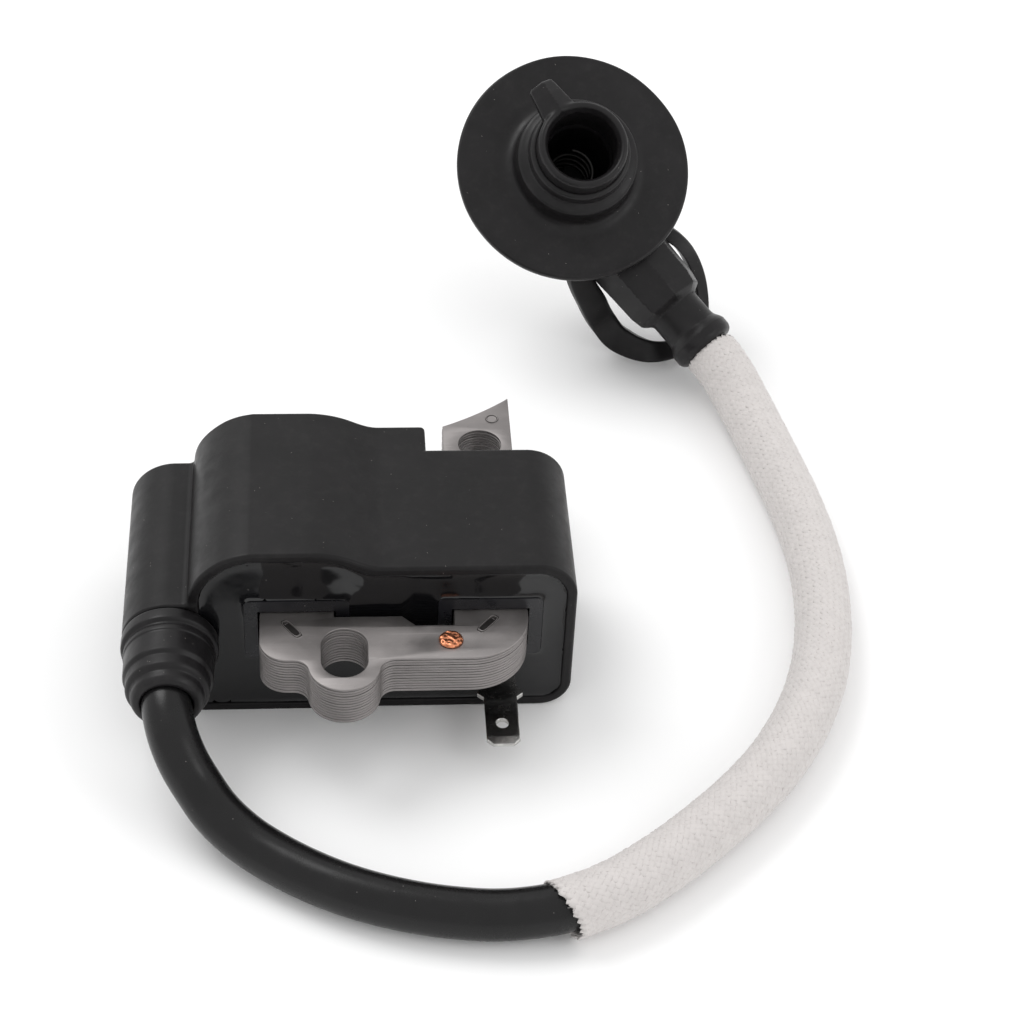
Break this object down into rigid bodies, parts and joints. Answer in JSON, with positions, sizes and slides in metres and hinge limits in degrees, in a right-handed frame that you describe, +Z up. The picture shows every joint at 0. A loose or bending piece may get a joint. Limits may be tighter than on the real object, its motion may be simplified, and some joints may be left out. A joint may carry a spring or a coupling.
{
  "type": "ignition coil",
  "caption": "Small-engine ignition coil: potted case on a laminated two-leg core, with a high-tension lead, braided heat sleeve, stop terminal and rubber plug boot.",
  "frame": {"origin": "on the plane under the case, at the centre of the footprint of the case and core, without the lead and what is on it", "axes": "+X along the core's yoke from the lead's outlet side to the stop terminal's side, +Y towards the flywheel, +Z up from the plane under the case"},
  "size_m": [0.1082, 0.1535, 0.0488],
  "materials": {
    "case_nylon": "satin glass-filled nylon",
    "resin": "gloss",
    "core_steel": "stamped, oiled",
    "rivet_copper": "upset copper",
    "bobbin": "satin",
    "enamelled_wire": "enamel gloss",
    "board": "solder mask",
    "component": "moulded epoxy",
    "film": "dipped",
    "tin": "tinned",
    "boot_rubber": "moulded, satin",
    "lead_jacket": "smooth",
    "glass_braid": "woven glass fibre"
  },
  "bodies": {
    "root": {"boot_seal_disc": "boot_rubber", "charge_bobbin": "bobbin", "charge_diode": "component", "charge_winding": "enamelled_wire", "circuit_board": "board", "control_chip": "component", "core_lamination_01": "core_steel", "core_lamination_02": "core_steel", "core_lamination_03": "core_steel", "core_lamination_04": "core_steel", "core_lamination_05": "core_steel", "core_lamination_06": "core_steel", "core_lamination_07": "core_steel", "core_lamination_08": "core_steel", "core_lamination_09": "core_steel", "core_lamination_10": "core_steel", "core_lamination_11": "core_steel", "core_lamination_12": "core_steel", "core_lamination_13": "core_steel", "ground_rivet": "rivet_copper", "ground_wire": "rivet_copper", "heat_sleeve": "glass_braid", "housing_shell": "case_nylon", "ht_contact_spike": "tin", "ht_lead": "lead_jacket", "ht_lead_conductor": "rivet_copper", "ht_link_wire": "tin", "lead_grommet": "boot_rubber", "plug_boot": "boot_rubber", "plug_contact_spring": "tin", "potting_resin": "resin", "primary_bobbin": "bobbin", "primary_winding": "enamelled_wire", "secondary_bobbin": "bobbin", "secondary_winding_1": "enamelled_wire", "secondary_winding_2": "enamelled_wire", "secondary_winding_3": "enamelled_wire", "secondary_winding_4": "enamelled_wire", "stop_diode": "component", "stop_terminal": "tin", "stop_wire": "tin", "storage_capacitor": "film", "thyristor": "component", "trigger_resistor": "board"}
  },
  "joints": []
}
